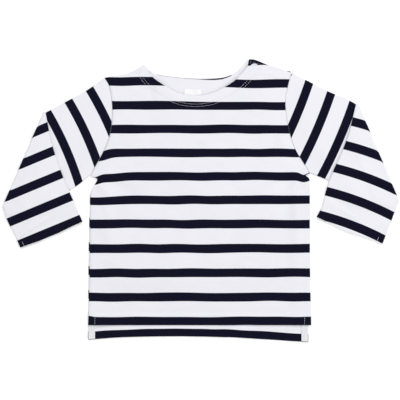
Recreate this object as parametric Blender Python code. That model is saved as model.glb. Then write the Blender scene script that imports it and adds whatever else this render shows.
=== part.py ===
"""Long-sleeved striped knit top for a small child, laid flat, each sleeve folded over at the elbow.

+X is towards the viewer's right, +Y towards the neck and +Z up. The top lies on the plane Z = 0.
Sizes and places are in millimetres, and new_object turns them into metres.
"""

import math

import bpy
from mathutils import Vector

MM = 0.001

# Cloth and how closely its pieces lie
CLOTH = 1.1
GAP = 0.3
SEAM_GAP = 0.5
TRIM_CLOTH = 0.8

# Body: hems, and how far the front stands off the back
HEM_DEPTH = 13.0
HEM_SLOPE = 2.0
FRONT_PUFF = 2.0
NECK_LIFT = 3.2
FLAP_END_LIFT = 1.6
VENT_LIFT = 1.2
VENT_LIFT_WIDTH = 30.0
VENT_LIFT_TOP = -118.0
SHOULDER_BASE = 60.0

# Sleeves: two cloth walls round a thin gap, and the folded stretch above the upper arm
SLEEVE_GAP = 0.5
SLEEVE_HEIGHT = 2 * CLOTH + SLEEVE_GAP
FOLD_CLEARANCE = 0.3
FOLD_AXIS = SLEEVE_HEIGHT + FOLD_CLEARANCE
SLEEVE_PUFF = 1.3
DRAPE_START = 5.5
DRAPE_RUN = 18.0
PUFF_START = 1.0
PUFF_RUN = 22.0
CUFF_HEM = 15.0
CUFF_EXTRA = 0.8

# Popper: a flat ring with a raised rim and a socket in its middle
POPPER_CENTRE = (67.0, 165.6)
POPPER_STEPS = 28

# Vent tapes: width across, and the heights of their upper ends
TAPE_WIDTH = 8.2
TAPE_TOP = -132.0

# Mesh steps, and how often a search for a place on a curve is halved
HALVINGS = 24
SIDE_ROWS = 15
ARMHOLE_ROWS = 15
SHOULDER_COLUMNS = 7
NECK_COLUMNS = 20
FLAP_COLUMNS = 8
BACK_SIDE_ROWS = 8
BACK_ARMHOLE_ROWS = 8
SLEEVE_RUN = 9
UPPER_ARM_RINGS = 9
FOLD_RINGS = 6
FOREARM_RINGS = 13

# Plan points as (x, y)
LEFT_ARMHOLE = (
    (-137.6, 31.6),
    (-131.0, 44.0),
    (-121.0, 62.4),
    (-113.4, 82.6),
    (-110.6, 105.0),
    (-110.9, 123.9),
    (-114.6, 143.9),
    (-120.1, 153.4),
)
RIGHT_ARMHOLE = (
    (136.2, 34.5),
    (129.5, 45.2),
    (118.8, 62.6),
    (112.2, 80.2),
    (107.6, 102.0),
    (105.6, 124.0),
    (109.0, 144.5),
    (112.9, 159.6),
)
FRONT_LEFT_SIDE = ((-140.6, -155.4), (-140.0, -60.0), (-137.6, 31.6))
FRONT_RIGHT_SIDE = ((137.9, -155.4), (134.6, -90.0), (135.4, -20.0), (136.2, 34.5))
BACK_LEFT_SIDE = ((-140.6, -173.6), (-140.0, -60.0), (-137.6, 31.6))
BACK_RIGHT_SIDE = ((134.4, -176.6), (134.6, -90.0), (135.4, -20.0), (136.2, 34.5))
BACK_HEM = (
    (-140.6, -173.6),
    (-95.0, -170.6),
    (-20.0, -169.6),
    (49.0, -171.4),
    (99.0, -174.6),
    (134.4, -176.6),
)
LEFT_SHOULDER = ((-120.1, 153.4), (-94.6, 157.6), (-81.0, 163.6), (-70.4, 170.2))
FRONT_NECK = (
    (-70.4, 170.2),
    (-60.4, 154.6),
    (-46.8, 144.7),
    (-28.0, 134.2),
    (-8.0, 130.8),
    (13.0, 133.8),
    (29.4, 141.4),
    (43.0, 150.3),
    (59.2, 168.0),
)
FRONT_FLAP = ((59.2, 168.0), (71.0, 168.9), (83.5, 168.7), (98.0, 164.8), (112.9, 159.6))
BACK_NECK = (
    (-70.4, 170.2),
    (-63.0, 162.4),
    (-52.0, 157.2),
    (-26.0, 153.6),
    (-1.0, 152.2),
    (20.0, 152.8),
    (33.0, 155.0),
    (46.0, 162.2),
    (57.6, 175.6),
)
BACK_SHOULDER = ((57.6, 175.6), (67.9, 175.2), (83.9, 168.6), (98.0, 163.2), (112.9, 159.6))
FACING_EDGE = (
    (-63.0, 161.6),
    (-52.0, 156.7),
    (-26.0, 153.2),
    (-5.0, 151.6),
    (20.0, 150.6),
    (33.0, 152.6),
    (46.6, 161.6),
    (57.4, 175.0),
)
FACING_FOOT = (
    (-63.6, 156.0),
    (-48.0, 137.0),
    (-26.0, 126.0),
    (-5.0, 122.0),
    (20.0, 125.0),
    (38.0, 136.0),
    (50.0, 150.0),
    (57.2, 165.0),
)
PLACKET_EDGE = ((60.4, 176.6), (67.9, 175.8), (83.9, 169.2), (98.0, 163.6), (112.2, 161.2))
PLACKET_FOOT = ((57.9, 163.2), (70.0, 160.4), (84.0, 155.4), (98.0, 150.4), (109.4, 147.0))
LABEL_CORNERS = ((-20.9, 139.6), (0.4, 139.0), (1.0, 125.4), (-20.3, 126.0))

# Soft folds of the front: middle x, middle y, direction in degrees, half length, half width, height
FRONT_FOLDS = (
    (-112.0, 8.0, -38.0, 42.0, 8.0, 1.1),
    (-106.0, 28.0, -22.0, 46.0, 9.0, -1.0),
    (-92.0, -30.0, -58.0, 48.0, 10.0, 0.8),
    (112.0, 14.0, 216.0, 44.0, 8.0, 1.0),
    (104.0, 34.0, 200.0, 46.0, 9.0, -0.9),
    (96.0, -44.0, 240.0, 50.0, 11.0, 0.8),
    (-36.0, 92.0, 12.0, 60.0, 12.0, 0.5),
    (48.0, 78.0, -10.0, 62.0, 12.0, -0.6),
    (-20.0, -84.0, 6.0, 76.0, 14.0, 0.5),
)

# Each sleeve in plan as it lies. The edge called top runs from the shoulder, and bottom from the underarm
LEFT_SLEEVE = {
    "armhole": LEFT_ARMHOLE,
    "outward": -1,
    "top": ((-120.1, 153.4), (-142.5, 138.3), (-168.8, 124.8), (-195.9, 111.2)),
    "bottom": ((-137.6, 31.6), (-162.8, 14.2), (-205.0, -1.0), (-247.8, -8.6)),
    "forearm_top": ((-195.9, 111.2), (-184.6, 66.1), (-171.1, 28.7), (-162.8, 9.6), (-147.3, -26.2)),
    "forearm_bottom": ((-247.8, -8.6), (-242.6, -23.1), (-229.1, -49.1), (-225.0, -58.4)),
}
RIGHT_SLEEVE = {
    "armhole": RIGHT_ARMHOLE,
    "outward": 1,
    "top": ((112.9, 159.6), (133.0, 150.3), (159.4, 137.6), (188.0, 126.1), (196.0, 121.6)),
    "bottom": ((136.2, 34.5), (159.4, 25.9), (205.0, 9.0), (247.8, -0.8)),
    "forearm_top": ((196.0, 121.6), (182.1, 75.3), (160.4, 26.1), (149.5, -10.2), (144.4, -20.0)),
    "forearm_bottom": ((247.8, -0.8), (242.2, -15.3), (229.9, -45.4), (226.6, -53.6)),
}

# Soft folds of a sleeve: share along, share across, direction in degrees in that square,
# half length, half width and height. Along runs from the armhole, 0, past the elbow, 1, to the cuff, 2
SLEEVE_FOLDS = (
    (0.34, 0.80, 62.0, 0.26, 0.07, 0.8),
    (0.60, 0.66, 75.0, 0.24, 0.07, -0.6),
    (1.30, 0.30, 70.0, 0.26, 0.06, 0.8),
    (1.46, 0.52, 60.0, 0.30, 0.07, -0.6),
    (1.64, 0.34, 80.0, 0.24, 0.06, 0.7),
)


def mix(a, b, share):
    return a + (b - a) * share


def ease(share):
    """0 below 0 and 1 above 1, with a smooth rise between."""
    share = min(1.0, max(0.0, share))
    return share * share * (3.0 - 2.0 * share)


class Path:
    """A smooth curve in plan through a few points, read by the share of its length."""

    def __init__(self, points):
        self.points = [Vector(point) for point in points]
        self.at = [0.0]
        for first, second in zip(self.points, self.points[1:]):
            self.at.append(self.at[-1] + (second - first).length)

    def slope(self, index):
        before = max(0, index - 1)
        after = min(len(self.points) - 1, index + 1)
        return (self.points[after] - self.points[before]) / (self.at[after] - self.at[before])

    def point(self, share):
        distance = min(1.0, max(0.0, share)) * self.at[-1]
        index = 0
        while index < len(self.points) - 2 and self.at[index + 1] < distance:
            index += 1
        span = self.at[index + 1] - self.at[index]
        t = (distance - self.at[index]) / span
        start = self.points[index]
        end = self.points[index + 1]
        start_slope = self.slope(index) * span
        end_slope = self.slope(index + 1) * span
        return (
            start * (2 * t**3 - 3 * t**2 + 1)
            + start_slope * (t**3 - 2 * t**2 + t)
            + end * (3 * t**2 - 2 * t**3)
            + end_slope * (t**3 - t**2)
        )

    def steps(self, count):
        return [self.point(step / count) for step in range(count + 1)]

    def crossing(self, value, axis):
        """Where a curve that runs one way along an axis reaches a value on it."""
        low = 0.0
        high = 1.0
        rising = self.points[-1][axis] > self.points[0][axis]
        for _ in range(HALVINGS):
            middle = (low + high) / 2
            if (self.point(middle)[axis] < value) == rising:
                low = middle
            else:
                high = middle
        return self.point(low)

    def height_at(self, x):
        return self.crossing(x, 0).y


def joined(*runs):
    """One list of points from runs that share their end points."""
    points = list(runs[0])
    for run in runs[1:]:
        points.extend(run[1:])
    return points


def fold_height(folds, x, y):
    """Height of all the soft ridges and troughs of a table at one place."""
    total = 0.0
    for middle_x, middle_y, direction, half_length, half_width, height in folds:
        turn = math.radians(direction)
        along = (x - middle_x) * math.cos(turn) + (y - middle_y) * math.sin(turn)
        across = (y - middle_y) * math.cos(turn) - (x - middle_x) * math.sin(turn)
        total += height * math.exp(-((along / half_length) ** 2) - (across / half_width) ** 2)
    return total


def new_material(name, colour, roughness):
    material = bpy.data.materials.new(name)
    material.use_nodes = True
    shader = material.node_tree.nodes["Principled BSDF"]
    shader.inputs["Base Color"].default_value = (*colour, 1.0)
    shader.inputs["Roughness"].default_value = roughness
    shader.inputs["Metallic"].default_value = 0.0
    return material


def new_object(name, points, faces, material, smooth_angle=40.0):
    """An object from points in millimetres and the faces between them."""
    mesh = bpy.data.meshes.new(name)
    mesh.from_pydata([Vector(point) * MM for point in points], [], faces)
    mesh.shade_smooth()
    mesh.set_sharp_from_angle(angle=math.radians(smooth_angle))
    mesh.materials.append(material)
    part = bpy.data.objects.new(name, mesh)
    bpy.context.collection.objects.link(part)
    return part


def wall(name, rows, lower, upper, material):
    """A closed wall over rows of plan points that run left to right, the rows from bottom to top.

    lower and upper give the two heights at row, column and plan point.
    """
    height = len(rows)
    width = len(rows[0])
    points = []
    for level in (lower, upper):
        for i, row in enumerate(rows):
            for j, place in enumerate(row):
                points.append((place.x, place.y, level(i, j, place)))
    count = height * width
    faces = []
    for i in range(height - 1):
        for j in range(width - 1):
            a = i * width + j
            corners = (a, a + 1, a + 1 + width, a + width)
            faces.append(tuple(corner + count for corner in corners))
            faces.append(tuple(reversed(corners)))
    rim = [j for j in range(width)]
    rim += [i * width + width - 1 for i in range(1, height)]
    rim += [(height - 1) * width + j for j in range(width - 2, -1, -1)]
    rim += [i * width for i in range(height - 2, 0, -1)]
    for a, b in zip(rim, rim[1:] + rim[:1]):
        faces.append((a, b, b + count, a + count))
    return new_object(name, points, faces, material)


def body_rows(left_side, right_side, hem, top, side_rows, armhole_rows):
    """Rows of plan points from the hem to the shoulders, with their edges on the seams."""
    left = joined(Path(left_side).steps(side_rows), Path(LEFT_ARMHOLE).steps(armhole_rows))
    right = joined(Path(right_side).steps(side_rows), Path(RIGHT_ARMHOLE).steps(armhole_rows))
    shares = [(point.x - top[0].x) / (top[-1].x - top[0].x) for point in top]
    rows = []
    for start, end in zip(left, right):
        row = []
        for share, edge in zip(shares, top):
            place = start.lerp(end, share)
            rise = max(0.0, (place.y - SHOULDER_BASE) / (mix(top[0].y, top[-1].y, share) - SHOULDER_BASE))
            place.y += (edge.y - mix(top[0].y, top[-1].y, share)) * rise**2
            if hem is not None:
                low = max(0.0, place.y / mix(left[0].y, right[0].y, share))
                place.y += (hem.height_at(place.x) - mix(left[0].y, right[0].y, share)) * low**4
            row.append(place)
        rows.append(row)
    return rows


def hem_rows(rows, distances):
    """The rows with more of them close above the hem, at the distances given."""
    bottom = rows[0]
    second = rows[1]
    added = []
    for distance in distances:
        row = []
        for low, high in zip(bottom, second):
            row.append(low.lerp(high, distance / (high - low).length))
        added.append(row)
    return [bottom] + added + rows[1:]


def hem_thickness(distance):
    """The cloth's thickness at a distance from a hem that is turned up inside."""
    return CLOTH * (2.0 - ease((distance - HEM_DEPTH) / HEM_SLOPE))


BACK_HEM_PATH = Path(BACK_HEM)


def back_top(place):
    """Height of the back panel's inner face."""
    x = min(BACK_HEM[-1][0], max(BACK_HEM[0][0], place.x))
    return hem_thickness(place.y - BACK_HEM_PATH.height_at(x))


def back_panel(material):
    neck = Path(BACK_NECK).steps(NECK_COLUMNS // 2 + 4)
    top = joined(Path(LEFT_SHOULDER).steps(5), neck, Path(BACK_SHOULDER).steps(6))
    rows = body_rows(BACK_LEFT_SIDE, BACK_RIGHT_SIDE, BACK_HEM_PATH, top, BACK_SIDE_ROWS, BACK_ARMHOLE_ROWS)
    rows = hem_rows(rows, (HEM_DEPTH - HEM_SLOPE, HEM_DEPTH + HEM_SLOPE))
    return wall(
        "back_panel",
        rows,
        lambda i, j, place: 0.0,
        lambda i, j, place: back_top(place),
        material,
    )


def front_lift(share, rise, place):
    """How far the front stands off the back, from the share across, the share up and the place."""
    crown = (4.0 * share * (1.0 - share)) ** 0.7
    puff = FRONT_PUFF * crown * ease(rise / 0.2)
    puff += fold_height(FRONT_FOLDS, place.x, place.y) * ease(crown / 0.5) * ease(rise / 0.12)
    neck_start = (FRONT_NECK[0][0] - LEFT_SHOULDER[0][0]) / (FRONT_FLAP[-1][0] - LEFT_SHOULDER[0][0])
    neck = ease((share - neck_start) / 0.06) * ease((rise - 0.72) / 0.26)
    flap_end = ease((share - 0.88) / 0.12)
    lift = mix(NECK_LIFT, FLAP_END_LIFT, flap_end)
    side = min(place.x - FRONT_LEFT_SIDE[0][0], FRONT_RIGHT_SIDE[0][0] - place.x)
    vent = VENT_LIFT * (1.0 - ease((side - TAPE_WIDTH * 1.4) / VENT_LIFT_WIDTH))
    vent *= 1.0 - ease((place.y - TAPE_TOP - 4.0) / (VENT_LIFT_TOP - TAPE_TOP + 10.0))
    return max(0.0, puff * (1.0 - neck)) + lift * neck + vent


def front_rows():
    top = joined(
        Path(LEFT_SHOULDER).steps(SHOULDER_COLUMNS),
        Path(FRONT_NECK).steps(NECK_COLUMNS),
        Path(FRONT_FLAP).steps(FLAP_COLUMNS),
    )
    return body_rows(FRONT_LEFT_SIDE, FRONT_RIGHT_SIDE, None, top, SIDE_ROWS, ARMHOLE_ROWS)


def front_panel(material):
    rows = hem_rows(front_rows(), (1.5, HEM_DEPTH - 8.0))
    hem_y = FRONT_LEFT_SIDE[0][1]
    bottom = rows[0]
    top = rows[-1]

    def lower(i, j, place):
        share = (top[j].x - top[0].x) / (top[-1].x - top[0].x)
        rise = (place.y - bottom[j].y) / (top[j].y - bottom[j].y)
        return CLOTH + GAP + front_lift(share, rise, place)

    def upper(i, j, place):
        return lower(i, j, place) + hem_thickness(place.y - hem_y)

    return wall("front_panel", rows, lower, upper, material)


def flat_ring(width, height, cloth):
    """A flattened tube's section: outer and inner loops of (share across, height, layer).

    layer is 1 on the upper cloth, 0 on the lower one and between them on the two ends.
    """
    loops = []
    for inset in (0.0, cloth):
        radius = height / 2 - inset
        loop = []
        for step in range(SLEEVE_RUN + 1):
            across = inset + radius + (width - 2 * (inset + radius)) * step / SLEEVE_RUN
            loop.append((across / width, height - inset, 1.0))
        loop.append(((width - inset) / width, height / 2, 0.5))
        for step in range(SLEEVE_RUN + 1):
            across = width - inset - radius - (width - 2 * (inset + radius)) * step / SLEEVE_RUN
            loop.append((across / width, inset, 0.0))
        loop.append((inset / width, height / 2, 0.5))
        loops.append(loop)
    return loops


def sleeve_rings(sleeve):
    """All the rings of one sleeve, each an outer and an inner loop, from the armhole to the cuff."""
    outward = sleeve["outward"]
    top = Path(sleeve["top"])
    bottom = Path(sleeve["bottom"])
    fold_start = Vector(sleeve["top"][-1])
    fold_end = Vector(sleeve["bottom"][-1])
    along_fold = (fold_end - fold_start).normalized()
    away = Vector((along_fold.y, -along_fold.x))
    if away.x * outward < 0:
        away = -away
    inset = -away * FOLD_AXIS
    armhole = Path(tuple(reversed(sleeve["armhole"])))
    seam = Vector((outward * SEAM_GAP, 0.0))
    straight_start = armhole.point(0.0)
    straight_end = armhole.point(1.0)
    forearm_top = Path(sleeve["forearm_top"])
    forearm_bottom = Path(sleeve["forearm_bottom"])
    rest_drop = 2 * FOLD_AXIS - SLEEVE_HEIGHT

    def bulge(share):
        """How far the armhole curves off the straight line between its ends."""
        return armhole.point(share) - straight_start.lerp(straight_end, share)

    def puff(along, across):
        crown = math.sin(math.pi * min(1.0, max(0.0, across)))
        ends = ease(along / 0.25) * ease(abs(along - 1.0) / 0.35) * ease((2.0 - along) / 0.25)
        return max(0.0, (SLEEVE_PUFF + fold_height(SLEEVE_FOLDS, along, across)) * crown * ends)

    def uncovered(place):
        """0 where the forearm lies on the upper arm, rising to 1 beyond its inner edge."""
        edge = forearm_top.crossing(place.y, 1)
        return ease((outward * (edge.x - place.x) - PUFF_START) / PUFF_RUN)

    def upper_arm(step):
        along = step / UPPER_ARM_RINGS
        start = top.point(along) + inset * along
        end = bottom.point(along) + inset * along
        ring = []
        for loop in flat_ring((end - start).length, SLEEVE_HEIGHT, CLOTH):
            points = []
            for across, height, layer in loop:
                place = start.lerp(end, across) + bulge(across) * (1.0 - along) ** 2 + seam
                rise = layer * puff(along, across) * uncovered(place)
                points.append((place.x, place.y, height + rise))
            ring.append(points)
        return ring

    def fold(step):
        angle = math.pi * step / FOLD_RINGS
        start = fold_start + inset + seam
        end = fold_end + inset + seam
        ring = []
        for loop in flat_ring((end - start).length, SLEEVE_HEIGHT, CLOTH):
            points = []
            for across, height, _ in loop:
                radius = FOLD_AXIS - height
                place = start.lerp(end, across) + away * radius * math.sin(angle)
                points.append((place.x, place.y, FOLD_AXIS - radius * math.cos(angle)))
            ring.append(points)
        return ring

    def forearm(step):
        along = step / FOREARM_RINGS
        start = forearm_top.point(along) + inset * (1.0 - along) + seam
        end = forearm_bottom.point(along) + inset * (1.0 - along) + seam
        length = (forearm_top.at[-1] + forearm_bottom.at[-1]) / 2
        hem = CUFF_EXTRA * (1.0 - ease((length * (1.0 - along) - CUFF_HEM) / 3.0))
        height_here = SLEEVE_HEIGHT + 2 * hem
        ring = []
        for loop in flat_ring((end - start).length, height_here, CLOTH + hem):
            points = []
            for across, height, layer in loop:
                place = start.lerp(end, across)
                beyond = bottom.height_at(place.x) - place.y
                drop = rest_drop * ease((beyond - DRAPE_START) / DRAPE_RUN)
                level = 2 * FOLD_AXIS - height + 2 * hem + (1.0 - layer) * puff(1.0 + along, across) - drop
                points.append((place.x, place.y, level))
            ring.append(points)
        return ring

    rings = [upper_arm(step) for step in range(UPPER_ARM_RINGS + 1)]
    rings += [fold(step) for step in range(1, FOLD_RINGS + 1)]
    rings += [forearm(step) for step in range(1, FOREARM_RINGS + 1)]
    return rings


def sleeve_object(name, sleeve, material):
    """A closed tube of cloth through the sleeve's rings."""
    rings = sleeve_rings(sleeve)
    size = len(rings[0][0])
    points = []
    for outer, inner in rings:
        points.extend(outer)
        points.extend(inner)
    faces = []
    for i in range(len(rings) - 1):
        for j in range(size):
            k = (j + 1) % size
            a = 2 * size * i
            b = 2 * size * (i + 1)
            faces.append((a + j, a + k, b + k, b + j))
            faces.append((a + size + k, a + size + j, b + size + j, b + size + k))
    last = 2 * size * (len(rings) - 1)
    for j in range(size):
        k = (j + 1) % size
        faces.append((k, j, size + j, size + k))
        faces.append((last + j, last + k, last + size + k, last + size + j))
    if sleeve["outward"] < 0:
        faces = [tuple(reversed(face)) for face in faces]
    return new_object(name, points, faces, material)


def ruled_rows(foot, edge, columns, rows):
    """Rows of plan points between two edges, from the foot edge up."""
    low = Path(foot).steps(columns)
    high = Path(edge).steps(columns)
    return [[a.lerp(b, row / rows) for a, b in zip(low, high)] for row in range(rows + 1)]


def neck_facing(material):
    return wall(
        "neck_facing",
        ruled_rows(FACING_FOOT, FACING_EDGE, 20, 4),
        lambda i, j, place: CLOTH + GAP,
        lambda i, j, place: CLOTH + GAP + TRIM_CLOTH,
        material,
    )


def shoulder_placket(material):
    return wall(
        "shoulder_placket",
        ruled_rows(PLACKET_FOOT, PLACKET_EDGE, 12, 2),
        lambda i, j, place: CLOTH + GAP,
        lambda i, j, place: 2 * CLOTH + GAP,
        material,
    )


def neck_label(material):
    top_left, top_right, foot_right, foot_left = LABEL_CORNERS
    base = CLOTH + GAP + TRIM_CLOTH + GAP
    return wall(
        "neck_label",
        ruled_rows((foot_left, foot_right), (top_left, top_right), 4, 3),
        lambda i, j, place: base,
        lambda i, j, place: base + TRIM_CLOTH,
        material,
    )


def vent_tape(name, inner_x, outer_x, material):
    """A tape inside the back's vent, from the hem up along the side edge."""
    left = min(inner_x, outer_x)
    right = max(inner_x, outer_x)
    rows = []
    foot_distances = (0.6, HEM_DEPTH, HEM_DEPTH + HEM_SLOPE)
    for step in range(7):
        row = []
        for column in range(3):
            x = mix(left, right, column / 2)
            hem_y = BACK_HEM_PATH.height_at(x)
            if step < len(foot_distances):
                y = hem_y + foot_distances[step]
            else:
                y = mix(hem_y + foot_distances[-1], TAPE_TOP, (step - 2) / 4)
            row.append(Vector((x, y)))
        rows.append(row)
    return wall(
        name,
        rows,
        lambda i, j, place: back_top(place) + GAP,
        lambda i, j, place: back_top(place) + GAP + TRIM_CLOTH,
        material,
    )


def popper(material):
    """A round press stud half, turned from its outline: radius, height."""
    base = 2 * CLOTH + 2 * GAP
    outline = (
        (2.0, 0.0),
        (5.2, 0.0),
        (5.5, 0.3),
        (5.5, 0.7),
        (5.0, 1.1),
        (4.3, 1.1),
        (3.9, 0.8),
        (3.0, 0.8),
        (2.6, 1.0),
        (2.0, 0.9),
    )
    points = []
    for step in range(POPPER_STEPS):
        turn = math.tau * step / POPPER_STEPS
        for radius, height in outline:
            x = POPPER_CENTRE[0] + radius * math.cos(turn)
            y = POPPER_CENTRE[1] + radius * math.sin(turn)
            points.append((x, y, base + height))
    count = len(outline)
    faces = []
    for step in range(POPPER_STEPS):
        a = step * count
        b = (step + 1) % POPPER_STEPS * count
        for j in range(count):
            k = (j + 1) % count
            faces.append((a + j, b + j, b + k, a + k))
    return new_object("popper", points, faces, material, 30.0)


def clear_scene():
    for item in list(bpy.data.objects):
        bpy.data.objects.remove(item, do_unlink=True)


def main():
    clear_scene()
    white = (0.84, 0.84, 0.88)
    navy = (0.010, 0.010, 0.022)
    back_panel(new_material("back_cloth", white, 0.85))
    front_panel(new_material("front_cloth", white, 0.85))
    sleeve_object("sleeve_left", LEFT_SLEEVE, new_material("left_sleeve_cloth", white, 0.85))
    sleeve_object("sleeve_right", RIGHT_SLEEVE, new_material("right_sleeve_cloth", white, 0.85))
    neck_facing(new_material("facing_cloth", (0.82, 0.82, 0.86), 0.85))
    neck_label(new_material("label_satin", (0.88, 0.88, 0.88), 0.45))
    shoulder_placket(new_material("placket_cloth", navy, 0.85))
    popper(new_material("popper_plastic", (0.86, 0.86, 0.88), 0.3))
    left_edge = BACK_HEM[0][0] + 0.5
    right_edge = BACK_HEM[-1][0] - 0.5
    vent_tape("vent_tape_left", left_edge + TAPE_WIDTH, left_edge, new_material("left_tape", white, 0.7))
    vent_tape("vent_tape_right", right_edge - TAPE_WIDTH, right_edge, new_material("right_tape", white, 0.7))


main()
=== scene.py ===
"""Looks of a small child's striped long-sleeved knit top, laid flat with its sleeves folded at the elbow.

Sizes and places are in millimetres, in the frame's axes, and new_piece turns them into metres.
"""

import math

import bpy
import numpy as np
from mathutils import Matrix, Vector
from mathutils.bvhtree import BVHTree


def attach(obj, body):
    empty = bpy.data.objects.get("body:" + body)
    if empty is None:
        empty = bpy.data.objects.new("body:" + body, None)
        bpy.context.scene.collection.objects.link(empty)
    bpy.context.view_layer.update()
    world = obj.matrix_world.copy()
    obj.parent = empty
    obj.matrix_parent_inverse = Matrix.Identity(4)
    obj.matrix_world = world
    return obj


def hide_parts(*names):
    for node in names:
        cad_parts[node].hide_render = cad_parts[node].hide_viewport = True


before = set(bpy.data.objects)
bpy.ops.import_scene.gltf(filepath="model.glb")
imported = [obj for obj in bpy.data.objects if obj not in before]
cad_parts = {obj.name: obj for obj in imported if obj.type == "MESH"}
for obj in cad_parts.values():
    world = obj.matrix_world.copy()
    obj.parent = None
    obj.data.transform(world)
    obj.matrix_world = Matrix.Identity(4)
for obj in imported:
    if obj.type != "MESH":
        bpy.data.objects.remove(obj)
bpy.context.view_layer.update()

MM = 0.001

# Cloth and how closely its pieces lie
CLOTH = 1.1
GAP = 0.3
SEAM_GAP = 0.35
TRIM_CLOTH = 0.8

# Body
HEM_DEPTH = 13.0
HEM_SLOPE = 2.0
FRONT_PUFF = 2.0
NECK_LIFT = 3.2
FLAP_END_LIFT = 1.6
VENT_LIFT = 1.2
VENT_LIFT_INSET = 11.48
VENT_LIFT_WIDTH = 30.0
VENT_LIFT_FADE = -128.0
VENT_LIFT_FADE_RUN = 24.0
SHOULDER_BASE = 60.0
EDGE_RADIUS = 1.5
BACK_EDGE_RADIUS = 0.8
BACK_EDGE_LIFT = 0.3
THINNEST_HALF = 0.06
SEAM_ALLOWANCE = 6.0
ALLOWANCE_SLOPE = 1.6
ALLOWANCE_START = 2.0
ALLOWANCE_RISE = 0.35
SEAM_SINK = 0.3
SEAM_SINK_WIDTH = 3.5
UNDERSIDE_SINK = 0.4
NECK_BAND = 12.8
NECK_BAND_SLOPE = 1.2
NECK_BAND_RISE = 0.45
NECK_GROOVES = (9.5, 12.7)
NECK_GROOVE_DEPTH = 0.28
NECK_GROOVE_WIDTH = 0.7

# Where the front's puff, folds, ripple and neck lift grow, as shares of its width or height
CROWN_POWER = 0.7
PUFF_RISE = 0.2
FOLD_CROWN = 0.28
FOLD_RISE = 0.12
RIPPLE = 0.22
RIPPLE_SIZE = 46.0
RIPPLE_CROWN = 0.5
RIPPLE_RISE = 0.1
NECK_RAMP = 0.06
NECK_RISE_START = 0.72
NECK_RISE_RUN = 0.26
FLAP_END_START = 0.88
FLAP_END_RUN = 0.12

# Sleeves
SLEEVE_GAP = 0.5
SLEEVE_HEIGHT = 2 * CLOTH + SLEEVE_GAP
FOLD_CLEARANCE = 0.3
FOLD_AXIS = SLEEVE_HEIGHT + FOLD_CLEARANCE
SLEEVE_PUFF = 1.3
DRAPE_START = 5.5
DRAPE_RUN = 18.0
PUFF_START = 1.0
PUFF_RUN = 22.0
SHUT_AT_ENDS = 0.25
SHUT_AT_ELBOW = 0.35
CUFF_HEM = 18.0
CUFF_SLOPE = 2.0
CUFF_EXTRA = 0.8
CUFF_STITCHING = (14.4, 17.2)
CUFF_GROOVE_DEPTH = 0.18
CUFF_GROOVE_WIDTH = 0.8
CUFF_RIM = 1.0
CUFF_RIM_SHARE = 0.25
CUFF_BULGE_WIDTH = 0.3
CUFF_BULGE_POWER = 6
INSET_POWER = 3
FOLD_CLOTH = 5.2

# Stripes: repeat, navy width, the lowest ones' middles, how the back's follow its hem, how far they
# wander, and the sleeves' first stripe and the slant of their cloth
STRIPE_PITCH = 29.9
NAVY_WIDTH = 10.8
FRONT_STRIPE = -150.3
BACK_STRIPE = -177.0
BACK_HEM_LEVEL = -182.2
HEM_BEND_REACH = 60.0
STRIPE_WANDER = 0.6
FRONT_WANDER_SIZE = 130.0
BACK_WANDER_SIZE = 90.0
SLEEVE_STRIPE = 22.4
SLEEVE_GRAIN = math.radians(22.2)

# Popper, label and tapes
POPPER_CENTRE = (67.0, 165.6)
LABEL_CLOTH = 0.7
TAPE_WIDTH = 8.2
TAPE_TOP = -132.0
TAPE_INSET = 0.5
TAPE_FOOT = 0.6

# Sewing: thread thickness, stitch length, the space between stitches, and how far rows are from edges
THREAD = 0.34
NECK_THREAD = 0.26
NECK_STITCH_SPACE = 0.35
NECK_STITCHING = ((9.6, 11.4), (12.7, 14.5))
STITCH = 2.4
STITCH_SPACE = 0.7
STITCH_SIDES = 6
STITCH_STEPS = 5
PLACKET_STITCH = 1.6
PLACKET_STITCH_SPACE = 0.9
TACK_STITCH = 1.9
TACK_STITCH_SPACE = 0.15
SHOULDER_TACK_RADIUS = 0.4
HEM_STITCHING = (HEM_DEPTH + 3.5, HEM_DEPTH + 6.5)
HEM_STITCHING_ENDS = (-139.0, 136.5)
VENT_STITCHING_X = (-132.0, 129.6)
VENT_STITCHING_RISE = (1.0, 24.0)
# Painted highlight and shade of the thread's twist: the lighter colour sits on the crowns of its plies and the
# greyer one in the grooves
THREAD_LIT_CROWN = (0.82, 0.82, 0.85, 1.0)
THREAD_SHADED_GROOVE = (0.72, 0.72, 0.76, 1.0)

# Mesh steps, and the extra rows close to the edges as shares
FRONT_STEPS = {"shoulder": 26, "neck": 97, "flap": 30, "side": 88, "side_top": 22, "armhole": 96}
BACK_STEPS = {"shoulder": 14, "neck": 61, "flap": 20, "side": 60, "side_top": 18, "armhole": 50}
TOP_FINE = (0.004, 0.012, 0.022)
SIDE_FINE = (0.0007, 0.002, 0.004, 0.0065)
HEM_FINE = (0.06, 0.07, 0.08, 0.09)
ARMHOLE_FINE = (0.0012, 0.0035, 0.0065)
CUFF_FINE = (0.0012, 0.0035, 0.007)
SIDE_TOP = 0.9
SLEEVE_RUN = 56
UPPER_ARM_RINGS = 52
FOLD_RINGS = 13
FOREARM_RINGS = 76
POPPER_STEPS = 72

# Camera: millimetres across its frame, the frame's middle, its height and its sensor's width
FRAME_WIDTH = 500.0
FRAME_CENTRE = (-0.9, 0.8)
CAMERA_HEIGHT = 1900.0
SENSOR = 36.0

# Light of the surroundings, low down and overhead, and the floor
HORIZON_LIGHT = 0.15
ZENITH_LIGHT = 1.035
FLOOR_HALF = 4.0
FLOOR_LEVEL = -0.0003
FLOOR_COLOUR = (0.95, 0.95, 0.95, 1.0)
FLOOR_GLOW = 0.12

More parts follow.
